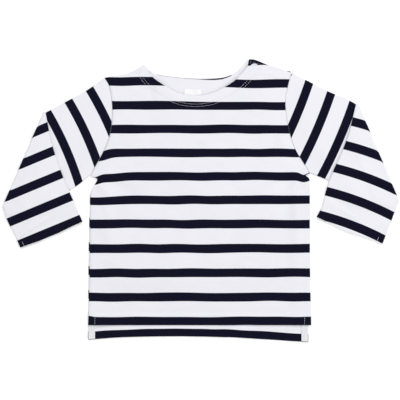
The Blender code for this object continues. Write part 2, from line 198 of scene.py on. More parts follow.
# Plan points as (x, y)
LEFT_ARMHOLE = (
    (-137.6, 31.6), (-131.0, 44.0), (-121.0, 62.4), (-113.4, 82.6),
    (-110.6, 105.0), (-110.9, 123.9), (-114.6, 143.9), (-120.1, 153.4),
)
RIGHT_ARMHOLE = (
    (136.2, 34.5), (129.5, 45.2), (118.8, 62.6), (112.2, 80.2),
    (107.6, 102.0), (105.6, 124.0), (109.0, 144.5), (112.9, 159.6),
)
FRONT_LEFT_SIDE = ((-140.6, -155.4), (-139.2, -110.0), (-138.5, -60.0), (-138.2, -10.0), (-137.6, 31.6))
FRONT_RIGHT_SIDE = ((137.9, -155.4), (136.6, -90.0), (136.2, -20.0), (136.2, 34.5))
BACK_LEFT_SIDE = ((-140.6, -173.6), (-140.0, -60.0), (-137.6, 31.6))
BACK_RIGHT_SIDE = ((134.4, -176.6), (134.6, -90.0), (135.4, -20.0), (136.2, 34.5))
BACK_HEM = (
    (-140.6, -173.6), (-95.0, -170.6), (-20.0, -169.6), (49.0, -171.4),
    (99.0, -174.6), (134.4, -176.6),
)
LEFT_SHOULDER = ((-120.1, 153.4), (-94.6, 157.6), (-81.0, 163.6), (-70.4, 170.2))
FRONT_NECK = (
    (-70.4, 170.2), (-60.4, 154.6), (-46.8, 144.7), (-28.0, 134.2),
    (-8.0, 130.8), (13.0, 133.8), (29.4, 141.4), (43.0, 150.3),
    (59.2, 168.0),
)
FRONT_FLAP = ((59.2, 168.0), (71.0, 168.9), (83.5, 168.7), (98.0, 164.8), (112.9, 159.6))
BACK_NECK = (
    (-70.4, 170.2), (-63.0, 162.4), (-52.0, 157.2), (-26.0, 153.6),
    (-1.0, 152.2), (20.0, 152.8), (33.0, 155.0), (46.0, 162.2),
    (57.6, 175.6),
)
BACK_SHOULDER = ((57.6, 175.6), (67.9, 175.2), (83.9, 168.6), (98.0, 163.2), (112.9, 159.6))
FACING_EDGE = (
    (-63.0, 161.6), (-52.0, 156.7), (-26.0, 153.2), (-5.0, 151.6),
    (20.0, 150.8), (33.0, 153.6), (46.6, 161.9), (57.4, 175.0),
)
FACING_FOOT = (
    (-63.6, 156.0), (-48.0, 137.0), (-26.0, 126.0), (-5.0, 122.0),
    (20.0, 125.0), (38.0, 136.0), (50.0, 150.0), (57.2, 165.0),
)
PLACKET_EDGE = ((60.4, 176.6), (67.9, 175.8), (83.9, 169.2), (98.0, 163.6), (112.2, 161.2))
PLACKET_FOOT = ((57.9, 163.2), (70.0, 160.4), (84.0, 155.4), (98.0, 150.4), (109.4, 147.0))
PLACKET_STITCHING = (
    ((62.6, 175.6), (62.4, 173.4), (61.6, 169.6)),
    ((64.6, 173.0), (71.0, 171.0), (77.0, 169.8), (84.0, 167.8)),
)
SHOULDER_TACK = (
    ((110.2, 161.6), (115.4, 159.0)),
    ((110.6, 160.9), (115.2, 158.4)),
    ((114.4, 158.6), (112.6, 155.8)),
)
LABEL_CORNERS = ((-20.9, 139.6), (0.4, 139.0), (1.0, 125.4), (-20.3, 126.0))

# The popper's section as (radius, height)
POPPER_OUTLINE = (
    (2.00, 0.00), (5.10, 0.00), (5.38, 0.10), (5.50, 0.35),
    (5.50, 0.70), (5.38, 0.96), (5.10, 1.10), (4.50, 1.12),
    (4.20, 1.00), (4.02, 0.62), (3.80, 0.42), (3.10, 0.42),
    (2.90, 0.62), (2.72, 0.98), (2.45, 1.02), (2.16, 0.98),
    (2.00, 0.86),
)

# Soft folds of the front: middle x, middle y, direction in degrees, half length, half width, height
FRONT_FOLDS = (
    (-118.0, 12.0, -42.0, 26.0, 4.5, 1.3),
    (-112.0, 30.0, -14.0, 30.0, 5.0, 1.1),
    (-104.0, 18.0, -28.0, 34.0, 6.0, -1.1),
    (-122.0, 34.0, 34.0, 16.0, 3.6, 0.9),
    (-116.0, -34.0, -78.0, 46.0, 9.0, 1.5),
    (-126.0, -8.0, -66.0, 24.0, 5.0, -0.9),
    (-114.0, 70.0, 74.0, 34.0, 7.0, 0.9),
    (116.0, 16.0, 222.0, 28.0, 5.0, 1.2),
    (110.0, 36.0, 202.0, 30.0, 5.5, 1.0),
    (104.0, 26.0, 212.0, 32.0, 6.0, -0.9),
    (121.0, -22.0, 92.0, 48.0, 7.0, 1.9),
    (106.0, -30.0, 88.0, 52.0, 7.0, -1.3),
    (120.0, -104.0, 86.0, 40.0, 8.0, 1.2),
    (104.0, 74.0, 104.0, 34.0, 7.0, 0.9),
    (92.0, 70.0, 100.0, 30.0, 7.0, -0.7),
    (84.0, 146.0, 96.0, 16.0, 8.0, 0.8),
    (-36.0, 92.0, 12.0, 60.0, 12.0, 0.6),
    (48.0, 78.0, -10.0, 62.0, 12.0, -0.7),
    (-58.0, -92.0, 6.0, 70.0, 14.0, 0.9),
    (-50.0, -116.0, 3.0, 66.0, 10.0, -0.8),
    (20.0, -30.0, 84.0, 60.0, 14.0, 0.7),
)

# Where the stripes bend: middle x, middle y, direction, half length, half width, how far they drop
FRONT_STRIPE_BENDS = (
    (-134.0, 27.0, 0.0, 9.5, 14.0, 6.0),
    (-114.0, 27.0, 0.0, 18.0, 16.0, 2.2),
    (-132.0, 0.0, 0.0, 22.0, 13.0, 1.5),
    (-128.0, 55.0, 0.0, 13.0, 12.0, 6.0),
    (128.5, 30.0, 0.0, 6.0, 10.0, 3.8),
    (75.0, 146.0, 0.0, 75.0, 24.0, 3.2),
    (0.0, -8.0, 0.0, 600.0, 64.0, -1.9),
    (-139.0, -145.0, 0.0, 5.0, 8.0, -1.6),
)

# Seams drawn in under the arms: x of the side, y where it starts, onset, depth and how far down it fades
UNDERARM_PINCHES = ((-137.6, 31.6, 4.5, 8.5, 10.0), (136.2, 34.5, 2.4, 5.2, 3.4))
PINCH_REACH = 16.0

# Sleeves. Stripes: steepness of the way across them, repeat, first middle, bow and the bow's middle.
# The cuff's bulge: share across and how far out. The seam tack: the two ends of a short row of stitches
LEFT_SLEEVE = {
    "name": "sleeve_left",
    "armhole": LEFT_ARMHOLE,
    "outward": -1,
    "top": ((-120.1, 153.4), (-142.5, 138.3), (-168.8, 124.8), (-195.9, 111.2)),
    "bottom": ((-137.6, 31.6), (-162.8, 14.2), (-205.0, -1.0), (-247.8, -8.6)),
    "forearm_top": ((-195.9, 111.2), (-184.6, 66.1), (-171.1, 28.7), (-162.8, 9.6), (-147.3, -26.2)),
    "forearm_bottom": ((-247.8, -8.6), (-242.6, -23.1), (-229.1, -49.1), (-225.0, -58.4)),
    "upper_stripes": (25.0, 30.3, 20.1, 0.0012, 50.0),
    "forearm_stripes": (67.5, 30.5, 29.7, 0.0, 0.0),
    "cuff_bulge": (0.56, 2.0),
    "seam_tack": ((-222.9, -51.3), (-219.6, -57.4)),
}
RIGHT_SLEEVE = {
    "name": "sleeve_right",
    "armhole": RIGHT_ARMHOLE,
    "outward": 1,
    "top": ((112.9, 159.6), (133.0, 150.3), (159.4, 137.6), (188.0, 126.1), (196.0, 121.6)),
    "bottom": ((136.2, 34.5), (159.4, 25.9), (205.0, 9.0), (247.8, -0.8)),
    "forearm_top": ((196.0, 121.6), (182.1, 75.3), (160.4, 26.1), (149.5, -10.2), (144.4, -20.0)),
    "forearm_bottom": ((247.8, -0.8), (242.2, -15.3), (229.9, -45.4), (226.6, -53.6)),
    "upper_stripes": (22.5, 30.3, 26.4, -0.0008, -45.0),
    "forearm_stripes": (69.0, 30.9, 27.0, 0.0013, 140.0),
    "cuff_bulge": (0.46, 3.0),
    "seam_tack": ((222.2, -45.0), (219.6, -51.2)),
}

# Soft folds of a sleeve: share along, share across, direction, half length, half width, height.
# Along runs from the armhole, 0, past the elbow, 1, to the cuff, 2
SLEEVE_FOLDS = (
    (0.34, 0.80, 62.0, 0.26, 0.07, 0.8),
    (0.60, 0.66, 75.0, 0.24, 0.07, -0.6),
    (1.30, 0.30, 70.0, 0.26, 0.06, 0.8),
    (1.46, 0.52, 60.0, 0.30, 0.07, -0.6),
    (1.64, 0.34, 80.0, 0.24, 0.06, 0.7),
)


def mix(a, b, share):
    return a + (b - a) * share


def ease(share):
    share = np.clip(share, 0.0, 1.0)
    return share * share * (3.0 - 2.0 * share)


class Path:
    """A smooth curve in plan through a few points, read by the share of its length."""

    def __init__(self, points, steps=60):
        points = np.array(points, float)
        spans = np.linalg.norm(np.diff(points, axis=0), axis=1)
        at = np.concatenate([[0.0], np.cumsum(spans)])
        last = len(points) - 1
        slopes = []
        for index in range(last + 1):
            before = max(0, index - 1)
            after = min(last, index + 1)
            slopes.append((points[after] - points[before]) / (at[after] - at[before]))
        shares = []
        dense = []
        for index in range(last):
            for step in range(steps + (index == last - 1)):
                t = step / steps
                shares.append((at[index] + spans[index] * t) / at[-1])
                dense.append(
                    points[index] * (2 * t**3 - 3 * t**2 + 1)
                    + slopes[index] * spans[index] * (t**3 - 2 * t**2 + t)
                    + points[index + 1] * (3 * t**2 - 2 * t**3)
                    + slopes[index + 1] * spans[index] * (t**3 - t**2)
                )
        self.length = at[-1]
        self.shares = np.array(shares)
        self.dense = np.array(dense)

    def at(self, share):
        share = np.clip(share, 0.0, 1.0)
        x = np.interp(share, self.shares, self.dense[:, 0])
        y = np.interp(share, self.shares, self.dense[:, 1])
        return np.stack([x, y], axis=-1)

    def y_at(self, x):
        order = np.argsort(self.dense[:, 0])
        return np.interp(x, self.dense[order, 0], self.dense[order, 1])

    def x_at(self, y):
        order = np.argsort(self.dense[:, 1])
        return np.interp(y, self.dense[order, 1], self.dense[order, 0])

    def distance(self, x, y):
        """Shortest distance in plan from each place to the curve."""
        start = self.dense[:-1]
        run = self.dense[1:] - start
        best = np.full(np.shape(x), 1e9)
        for (ax, ay), (rx, ry) in zip(start, run):
            share = np.clip(((x - ax) * rx + (y - ay) * ry) / (rx * rx + ry * ry), 0.0, 1.0)
            best = np.minimum(best, (x - ax - share * rx) ** 2 + (y - ay - share * ry) ** 2)
        return np.sqrt(best)


def fold_height(folds, x, y):
    """Height of all the soft ridges and troughs of a table at each place."""
    total = 0.0
    for middle_x, middle_y, direction, half_length, half_width, height in folds:
        turn = math.radians(direction)
        along = (x - middle_x) * math.cos(turn) + (y - middle_y) * math.sin(turn)
        across = (y - middle_y) * math.cos(turn) - (x - middle_x) * math.sin(turn)
        total = total + height * np.exp(-((along / half_length) ** 2) - (across / half_width) ** 2)
    return total


def ripple(x, y, size):
    """Uneven soft ripple between -1 and 1, about this size from crest to crest."""
    k = math.tau / size
    wave = np.sin(k * x + 1.7 * np.sin(0.63 * k * y + 0.4)) * np.sin(0.81 * k * y + 1.3 * np.sin(0.71 * k * x))
    wave = wave + 0.5 * np.sin(1.9 * k * x + 2.3 * k * y + 2.0 * np.sin(0.5 * k * (x - y)))
    return wave / 1.5


def half_fine(count, fine, at_start):
    """Even shares with a few more close to one end only."""
    even = np.linspace(0.0, 1.0, count + 1)
    fine = np.array(fine)
    return np.unique(np.concatenate([even, fine if at_start else 1.0 - fine]))


def edge_shares(count, fine):
    """Even shares from 0 to 1 with a few more close to both ends."""
    return np.union1d(half_fine(count, fine, True), half_fine(count, fine, False))


def new_piece(name, points, faces, uvs, material, smooth_angle=60.0):
    """A piece from points in millimetres, faces between them and cloth places for the weave."""
    mesh = bpy.data.meshes.new(name)
    mesh.from_pydata((np.asarray(points, float) * MM).tolist(), [], faces)
    if uvs is not None:
        layer = mesh.uv_layers.new(name="cloth")
        index = np.empty(len(mesh.loops), dtype=np.int32)
        mesh.loops.foreach_get("vertex_index", index)
        layer.data.foreach_set("uv", (np.asarray(uvs, float) * MM)[index].astype(np.float32).ravel())
    mesh.shade_smooth()
    mesh.set_sharp_from_angle(angle=math.radians(smooth_angle))
    mesh.materials.append(material)
    piece = bpy.data.objects.new(name, mesh)
    bpy.context.collection.objects.link(piece)
    return piece


def shell(name, x, y, low, high, u, v, material):
    """A closed thin sheet over a grid of places, with its rim stitched shut."""
    height, width = x.shape
    count = height * width
    points = np.concatenate(
        [
            np.stack([x, y, low], axis=-1).reshape(-1, 3),
            np.stack([x, y, high], axis=-1).reshape(-1, 3),
        ]
    )
    cloth = np.stack([u, v], axis=-1).reshape(-1, 2)
    index = np.arange(count).reshape(height, width)
    a = index[:-1, :-1].ravel()
    b = index[:-1, 1:].ravel()
    c = index[1:, 1:].ravel()
    d = index[1:, :-1].ravel()
    upper = np.stack([a, b, c, d], axis=1) + count
    lower = np.stack([d, c, b, a], axis=1)
    rim = np.concatenate([index[0, :], index[1:, -1], index[-1, -2::-1], index[-2:0:-1, 0]])
    after = np.roll(rim, -1)
    side = np.stack([rim, after, after + count, rim + count], axis=1)
    faces = np.concatenate([upper, lower, side]).tolist()
    return new_piece(name, points, faces, np.concatenate([cloth, cloth]), material)


def rounded(distance, thickness, radius=EDGE_RADIUS):
    """Half the cloth's thickness near an edge that is rounded off."""
    inward = 1.0 - np.clip(distance / radius, 0.0, 1.0)
    return np.maximum(thickness / 2 * np.sqrt(np.clip(1.0 - inward**2, 0.0, 1.0)), THINNEST_HALF)


class Nodes:
    """Short ways to add and join shader nodes of one material."""

    def __init__(self, name):
        self.material = bpy.data.materials.new(name)
        self.material.use_nodes = True
        self.tree = self.material.node_tree
        self.shader = self.tree.nodes["Principled BSDF"]

    def put(self, value, socket):
        if isinstance(value, bpy.types.NodeSocket):
            self.tree.links.new(value, socket)
        else:
            socket.default_value = value

    def math(self, operation, a, b=0.0, c=0.0):
        node = self.tree.nodes.new("ShaderNodeMath")
        node.operation = operation
        for value, socket in zip((a, b, c), node.inputs):
            self.put(value, socket)
        return node.outputs[0]

    def step(self, value, low, high, to_low=0.0, to_high=1.0):
        node = self.tree.nodes.new("ShaderNodeMapRange")
        node.interpolation_type = "SMOOTHSTEP"
        self.put(value, node.inputs["Value"])
        self.put(low, node.inputs["From Min"])
        self.put(high, node.inputs["From Max"])
        self.put(to_low, node.inputs["To Min"])
        self.put(to_high, node.inputs["To Max"])
        return node.outputs["Result"]

    def mix(self, share, a, b):
        node = self.tree.nodes.new("ShaderNodeMix")
        node.data_type = "RGBA"
        self.put(share, node.inputs["Factor"])
        self.put(a, node.inputs["A"])
        self.put(b, node.inputs["B"])
        return node.outputs["Result"]

    def noise(self, vector, scale, detail=2.0):
        node = self.tree.nodes.new("ShaderNodeTexNoise")
        self.put(vector, node.inputs["Vector"])
        self.put(scale, node.inputs["Scale"])
        self.put(detail, node.inputs["Detail"])
        return node.outputs["Fac"]

    def cloth_places(self):
        """Where each point lies on the cut cloth, in metres: the vector, across and along."""
        node = self.tree.nodes.new("ShaderNodeUVMap")
        node.uv_map = "cloth"
        split = self.tree.nodes.new("ShaderNodeSeparateXYZ")
        self.put(node.outputs["UV"], split.inputs["Vector"])
        return node.outputs["UV"], split.outputs["X"], split.outputs["Y"]

    def bump(self, height, distance, strength):
        node = self.tree.nodes.new("ShaderNodeBump")
        node.inputs["Distance"].default_value = distance
        node.inputs["Strength"].default_value = strength
        self.put(height, node.inputs["Height"])
        self.put(node.outputs["Normal"], self.shader.inputs["Normal"])

    def finish(self, roughness, sheen=0.0, shine=0.25):
        self.shader.inputs["Roughness"].default_value = roughness
        self.shader.inputs["Sheen Weight"].default_value = sheen
        self.shader.inputs["Sheen Roughness"].default_value = 0.5
        self.shader.inputs["Specular IOR Level"].default_value = shine
        return self.material


WHITE = (0.800, 0.797, 0.838, 1.0)
WHITE_SHADE = (0.783, 0.781, 0.828, 1.0)
# Painted shade: the greyer white mixed into the low places between the knit stitches
WHITE_PAINTED_SHADE_BETWEEN_STITCHES = (0.62, 0.62, 0.69, 1.0)
NAVY = (0.0026, 0.0025, 0.0125, 1.0)
NAVY_LIGHT = (0.0062, 0.0060, 0.0190, 1.0)
WALE = 0.95 * MM
COURSE = 0.75 * MM


def knit_height(nodes, across, along):
    """Height of plain knit stitches: columns of small V shapes, 0 to 1."""
    column = nodes.math("PINGPONG", nodes.math("DIVIDE", across, WALE), 0.5)
    edge = nodes.math("MULTIPLY", column, 2.0)
    crown = nodes.math("SUBTRACT", 1.0, nodes.math("POWER", nodes.math("SUBTRACT", 1.0, edge), 2.0))
    row = nodes.math("ADD", nodes.math("DIVIDE", along, COURSE), nodes.math("MULTIPLY", edge, 0.7))
    loop = nodes.math("SINE", nodes.math("MULTIPLY", row, math.tau))
    return nodes.math("ADD", nodes.math("MULTIPLY", crown, 0.65), nodes.math("MULTIPLY", loop, 0.18))


def knit_material(name, first_stripe=None, pitch=STRIPE_PITCH):
    """White cotton jersey, with navy stripes across it where first_stripe says the middle of one."""
    nodes = Nodes(name)
    place, across, along = nodes.cloth_places()
    height = knit_height(nodes, across, along)
    mottle = nodes.noise(place, 26.0, 2.0)
    fuzz = nodes.noise(place, 2600.0, 2.0)
    white = nodes.mix(nodes.step(mottle, 0.35, 0.7), WHITE, WHITE_SHADE)
    # Painted shade: where the knit is low between its stitches, the white is mixed up to about a third of the
    # way towards the greyer white
    colour = nodes.mix(nodes.step(height, 0.45, 0.0, 0.0, 0.35), white, WHITE_PAINTED_SHADE_BETWEEN_STITCHES)
    if first_stripe is not None:
        wander = nodes.math("MULTIPLY", nodes.math("SUBTRACT", fuzz, 0.5), 0.35 * MM)
        level = nodes.math("ADD", nodes.math("SUBTRACT", along, first_stripe * MM), wander)
        count = nodes.math("DIVIDE", level, pitch * MM)
        off = nodes.math("MULTIPLY", nodes.math("PINGPONG", count, 0.5), pitch * MM)
        mask = nodes.step(off, (NAVY_WIDTH / 2 + 0.2) * MM, (NAVY_WIDTH / 2 - 0.2) * MM)
        navy = nodes.mix(nodes.step(fuzz, 0.3, 0.75), NAVY, NAVY_LIGHT)
        colour = nodes.mix(mask, colour, navy)
    nodes.put(colour, nodes.shader.inputs["Base Color"])
    relief = nodes.math("ADD", height, nodes.math("MULTIPLY", fuzz, 0.35))
    nodes.bump(relief, 0.25 * MM, 0.45)
    return nodes.finish(0.95, 0.03, 0.09)


def plain_navy_material(name):
    nodes = Nodes(name)
    place, across, along = nodes.cloth_places()
    height = knit_height(nodes, across, along)
    fuzz = nodes.noise(place, 2600.0, 2.0)
    nodes.put(nodes.mix(nodes.step(fuzz, 0.3, 0.75), NAVY, NAVY_LIGHT), nodes.shader.inputs["Base Color"])
    nodes.bump(height, 0.25 * MM, 0.45)
    return nodes.finish(0.95, 0.03, 0.09)


def tape_material(name):
    """White herringbone tape: fine slanting ribs that change direction across the width."""
    nodes = Nodes(name)
    _, across, along = nodes.cloth_places()
    zigzag = nodes.math("PINGPONG", across, 1.4 * MM)
    rib = nodes.math("SINE", nodes.math("MULTIPLY", nodes.math("ADD", along, zigzag), math.tau / (0.8 * MM)))
    shade = nodes.step(rib, -0.6, 0.8, 0.35, 0.0)
    colour = nodes.mix(shade, (0.80, 0.80, 0.82, 1.0), (0.60, 0.60, 0.64, 1.0))
    nodes.put(colour, nodes.shader.inputs["Base Color"])
    nodes.bump(rib, 0.12 * MM, 0.5)
    return nodes.finish(0.85)


def satin_material(name):
    nodes = Nodes(name)
    place, across, _ = nodes.cloth_places()
    thread = nodes.math("SINE", nodes.math("MULTIPLY", across, math.tau / (0.3 * MM)))
    cloud = nodes.noise(place, 120.0)
    colour = nodes.mix(nodes.step(cloud, 0.4, 0.7), (0.86, 0.86, 0.87, 1.0), (0.80, 0.80, 0.82, 1.0))
    nodes.put(colour, nodes.shader.inputs["Base Color"])
    nodes.bump(thread, 0.05 * MM, 0.3)
    return nodes.finish(0.42, 0.1)


def plastic_material(name):
    nodes = Nodes(name)
    coordinates = nodes.tree.nodes.new("ShaderNodeTexCoord").outputs["Object"]
    grain = nodes.noise(coordinates, 900.0, 2.0)
    colour = nodes.mix(nodes.step(grain, 0.35, 0.7), (0.83, 0.83, 0.85, 1.0), (0.79, 0.79, 0.81, 1.0))
    nodes.put(colour, nodes.shader.inputs["Base Color"])
    nodes.bump(grain, 0.05 * MM, 0.2)
    return nodes.finish(0.32)


def thread_material(name, light, dark):
    nodes = Nodes(name)
    _, across, along = nodes.cloth_places()
    twist = nodes.math("SINE", nodes.math("MULTIPLY", nodes.math("ADD", across, along), math.tau / (0.5 * MM)))
    # Painted highlight and shade: the twist's crowns get the light colour and its grooves the dark one,
    # following the same twist that makes the bump
    nodes.put(nodes.mix(nodes.step(twist, -0.5, 0.8), dark, light), nodes.shader.inputs["Base Color"])
    nodes.bump(twist, 0.05 * MM, 0.4)
    return nodes.finish(0.6)


def pinched(x, y):
    """Draws the side seams in just below the underarms."""
    for edge, start, onset, depth, fade in UNDERARM_PINCHES:
        below = start - y
        amount = depth * ease(below / onset) * np.exp(-((np.maximum(0.0, below - onset) / fade) ** 2))
        x = x - math.copysign(1.0, edge) * amount * np.exp(-(((x - edge) / PINCH_REACH) ** 2))
    return x


def body_grid(left_side, right_side, hem, top, side_shares, armhole_shares):
    """Grid of plan places from the hem to the shoulders, with its edges on the seams."""
    left = np.concatenate([Path(left_side).at(side_shares), Path(LEFT_ARMHOLE).at(armhole_shares)[1:]])
    right = np.concatenate([Path(right_side).at(side_shares), Path(RIGHT_ARMHOLE).at(armhole_shares)[1:]])
    share = (top[:, 0] - top[0, 0]) / (top[-1, 0] - top[0, 0])
    x = mix(left[:, :1], right[:, :1], share[None, :])
    y = mix(left[:, 1:], right[:, 1:], share[None, :])
    top_line = mix(top[0, 1], top[-1, 1], share)
    rise = np.maximum(0.0, (y - SHOULDER_BASE) / (top_line - SHOULDER_BASE))
    y = y + (top[:, 1] - top_line) * rise**2
    if hem is not None:
        hem_line = mix(left[0, 1], right[0, 1], share)
        low = np.maximum(0.0, y / hem_line)
        y = y + (hem.y_at(x) - hem_line) * low**4
    return pinched(x, y), y


BACK_HEM_PATH = Path(BACK_HEM)
FRONT_HEM_Y = FRONT_LEFT_SIDE[0][1]


def hem_thickness(distance):
    return CLOTH * (2.0 - ease((distance - HEM_DEPTH) / HEM_SLOPE))


def back_top(x, y):
    """Height of the back panel's inner face."""
    return hem_thickness(y - BACK_HEM_PATH.y_at(np.clip(x, BACK_HEM[0][0], BACK_HEM[-1][0])))


def piece_shares(runs):
    """Points along several runs, each with its own shares."""
    points = [Path(run).at(shares) for run, shares in runs]
    return np.concatenate([points[0]] + [more[1:] for more in points[1:]])


def panel_grid(sides, hem, tops, steps, hem_shares=()):
    """A panel's grid of plan places, and the places along its top edge."""
    shoulder, neck, flap = tops
    top = piece_shares(
        (
            (shoulder, half_fine(steps["shoulder"], TOP_FINE, True)),
            (neck, np.linspace(0.0, 1.0, steps["neck"])),
            (flap, half_fine(steps["flap"], TOP_FINE, False)),
        )
    )
    side = half_fine(steps["side"], SIDE_FINE + hem_shares, True)
    side = np.unique(np.concatenate([side, np.linspace(SIDE_TOP, 1.0, steps["side_top"])]))
    armhole = half_fine(steps["armhole"], ARMHOLE_FINE, False)
    x, y = body_grid(sides[0], sides[1], hem, top, side, armhole)
    return x, y, top


def stitch_groove(distance, at, width):
    return np.exp(-(((distance - at) / width) ** 2))


def front_low(x, y, top):
    """Height of the front's inner face: puffed a little, folded, and lifted at the neck and the vents."""
    share = ((top[:, 0] - top[0, 0]) / (top[-1, 0] - top[0, 0]))[None, :]
    rise = (y - y[:1]) / (y[-1:] - y[:1])
    crown = (4.0 * share * (1.0 - share)) ** CROWN_POWER
    puff = FRONT_PUFF * crown * ease(rise / PUFF_RISE)
    puff = puff + fold_height(FRONT_FOLDS, x, y) * ease(crown / FOLD_CROWN) * ease(rise / FOLD_RISE)
    puff = puff + RIPPLE * ripple(x, y, RIPPLE_SIZE) * ease(crown / RIPPLE_CROWN) * ease(rise / RIPPLE_RISE)
    neck_start = (FRONT_NECK[0][0] - LEFT_SHOULDER[0][0]) / (FRONT_FLAP[-1][0] - LEFT_SHOULDER[0][0])
    neck = ease((share - neck_start) / NECK_RAMP) * ease((rise - NECK_RISE_START) / NECK_RISE_RUN)
    lift = mix(NECK_LIFT, FLAP_END_LIFT, ease((share - FLAP_END_START) / FLAP_END_RUN))
    side = np.minimum(x - FRONT_LEFT_SIDE[0][0], FRONT_RIGHT_SIDE[0][0] - x)
    vent = VENT_LIFT * (1.0 - ease((side - VENT_LIFT_INSET) / VENT_LIFT_WIDTH))
    vent = vent * (1.0 - ease((y - VENT_LIFT_FADE) / VENT_LIFT_FADE_RUN))
    return CLOTH + GAP + np.maximum(0.0, puff * (1.0 - neck)) + lift * neck + vent


def front_piece(material):
    """The front with its seams, hem and neck band."""
    sides = (FRONT_LEFT_SIDE, FRONT_RIGHT_SIDE)
    x, y, top = panel_grid(sides, None, (LEFT_SHOULDER, FRONT_NECK, FRONT_FLAP), FRONT_STEPS)
    low = front_low(x, y, top)
    to_left = Path(FRONT_LEFT_SIDE).distance(x, y)
    to_right = Path(FRONT_RIGHT_SIDE).distance(x, y)
    to_left_arm = Path(LEFT_ARMHOLE).distance(x, y)
    to_right_arm = Path(RIGHT_ARMHOLE).distance(x, y)
    to_neck = Path(FRONT_NECK).distance(x, y)
    to_flap = Path(FRONT_FLAP).distance(x, y)
    to_shoulder = Path(LEFT_SHOULDER).distance(x, y)
    to_hem = y - FRONT_HEM_Y
    to_seam = np.minimum.reduce([to_left, to_right, to_left_arm, to_right_arm, to_shoulder])
    to_edge = np.minimum.reduce([to_seam, to_neck, to_flap, to_hem])

    thickness = hem_thickness(to_hem)
    band = ease((NECK_BAND - np.minimum(to_neck, to_flap)) / NECK_BAND_SLOPE)
    thickness = thickness + NECK_BAND_RISE * band
    allowance = ease((SEAM_ALLOWANCE - to_seam) / ALLOWANCE_SLOPE) * ease(to_seam / ALLOWANCE_START)
    thickness = thickness + ALLOWANCE_RISE * allowance
    for distance in NECK_GROOVES:
        thickness = thickness - NECK_GROOVE_DEPTH * stitch_groove(to_neck, distance, NECK_GROOVE_WIDTH)
    half = rounded(to_edge, thickness)
    middle = low + thickness / 2
    sink = SEAM_SINK * (1.0 - ease(to_seam / SEAM_SINK_WIDTH))
    under = middle - half - sink * UNDERSIDE_SINK
    bend = fold_height(FRONT_STRIPE_BENDS, x, y) + STRIPE_WANDER * ripple(x, y, FRONT_WANDER_SIZE)
    return shell("front_cloth", x, y, under, middle + half - sink, x, y + bend, material)


def back_piece(material):
    """The back: its underside lies flat, and its hem is turned up inside."""
    sides = (BACK_LEFT_SIDE, BACK_RIGHT_SIDE)
    tops = (LEFT_SHOULDER, BACK_NECK, BACK_SHOULDER)
    x, y, _ = panel_grid(sides, BACK_HEM_PATH, tops, BACK_STEPS, HEM_FINE)
    to_hem = y - BACK_HEM_PATH.y_at(x)
    edges = (*sides, LEFT_ARMHOLE, RIGHT_ARMHOLE, *tops)
    to_edge = np.minimum.reduce([to_hem] + [Path(edge).distance(x, y) for edge in edges])
    thickness = back_top(x, y)
    half = rounded(to_edge, thickness, BACK_EDGE_RADIUS)
    low = np.minimum(thickness / 2 - half, BACK_EDGE_LIFT)
    high = thickness / 2 + half
    hem_bend = (BACK_HEM_LEVEL - BACK_HEM_PATH.y_at(x)) * (1.0 - ease(to_hem / HEM_BEND_REACH))
    bend = hem_bend + STRIPE_WANDER * ripple(x, y, BACK_WANDER_SIZE)
    return shell("back_cloth", x, y, low, high, x, y + bend, material)


def flat_ring(width, height, cloth, run):
    """A flattened tube's section: arrays of share across, height and layer for the two loops."""
    loops = []
    ends = np.radians(np.array((60.0, 30.0, 0.0, -30.0, -60.0)))
    for inset in (0.0, cloth):
        radius = height / 2 - inset
        step = np.linspace(0.0, 1.0, run + 1)
        flat = inset + radius + (width - 2 * (inset + radius)) * step
        far = width - inset - radius + radius * np.cos(ends)
        near = inset + radius - radius * np.cos(ends)
        turn = height / 2 + radius * np.sin(ends)
        across = np.concatenate([flat, far, flat[::-1], near])
        level = np.concatenate([flat * 0 + height - inset, turn, flat * 0 + inset, turn[::-1]])
        layer = np.clip((level - inset) / (height - 2 * inset), 0.0, 1.0)
        loops.append((across / width, level, layer))
    return loops


